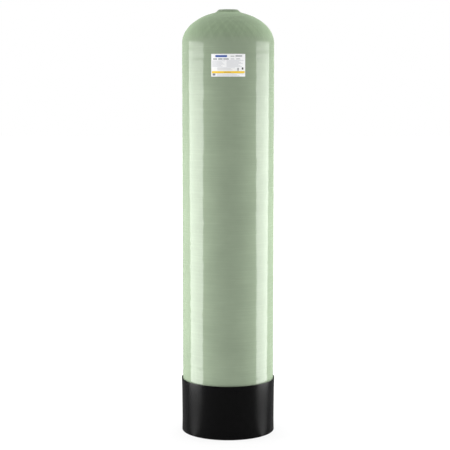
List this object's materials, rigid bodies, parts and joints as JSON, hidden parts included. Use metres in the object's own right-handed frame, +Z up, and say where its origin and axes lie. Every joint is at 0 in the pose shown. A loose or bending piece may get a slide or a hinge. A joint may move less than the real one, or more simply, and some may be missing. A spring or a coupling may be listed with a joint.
{
  "type": "composite filter tank",
  "caption": "Tall wound glass fibre pressure vessel with domed ends, a threaded neck on top and a moulded boot to stand in.",
  "frame": {"origin": "on the floor, under the middle of the boot", "axes": "+Z up along the vessel's axis and out of the neck, the label faces -Y"},
  "size_m": [0.374, 0.374, 1.68],
  "materials": {
    "wound_glass_fibre": "clear resin gloss over fine wound strands, pale grey-green",
    "liner_plastic": "moulded, slightly waxy, natural white",
    "fitting_plastic": "moulded glass-filled plastic, satin, grey-green",
    "boot_plastic": "moulded, satin black",
    "adhesive": "set hot-melt, amber",
    "label_film": "printed white film, semi-gloss"
  },
  "bodies": {
    "root": {"wound_shell": "wound_glass_fibre", "liner": "liner_plastic", "inlet_fitting": "fitting_plastic", "base_boot": "boot_plastic", "boot_adhesive": "adhesive", "label": "label_film"}
  },
  "joints": []
}
